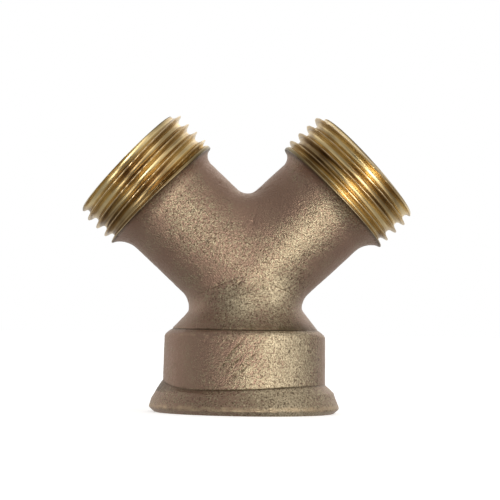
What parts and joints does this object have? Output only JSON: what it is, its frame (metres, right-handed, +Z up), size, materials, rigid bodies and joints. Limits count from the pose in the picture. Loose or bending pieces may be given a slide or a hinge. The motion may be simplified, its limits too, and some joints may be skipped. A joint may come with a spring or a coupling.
{
  "type": "hose splitter",
  "caption": "Brass wye hose splitter: a tapped inlet socket with a foot flange feeds two leaning arms, each ending in a garden hose thread.",
  "frame": {"origin": "centre of the inlet's mouth, on the plane of the foot flange that the splitter stands on", "axes": "+Z up along the neck, +X towards the right-hand outlet, -Y towards the side that the picture shows"},
  "size_m": [0.0629, 0.0366, 0.0573],
  "materials": {
    "blasted_brass": "forged and shot-blasted, matt and finely pitted",
    "turned_brass": "turned bright, fine tool marks",
    "washer_rubber": "moulded black rubber, matt"
  },
  "bodies": {
    "root": {"wye_body": "blasted_brass", "inlet_socket": "blasted_brass", "inlet_thread": "turned_brass", "left_outlet_thread": "turned_brass", "right_outlet_thread": "turned_brass", "inlet_washer": "washer_rubber"}
  },
  "joints": []
}
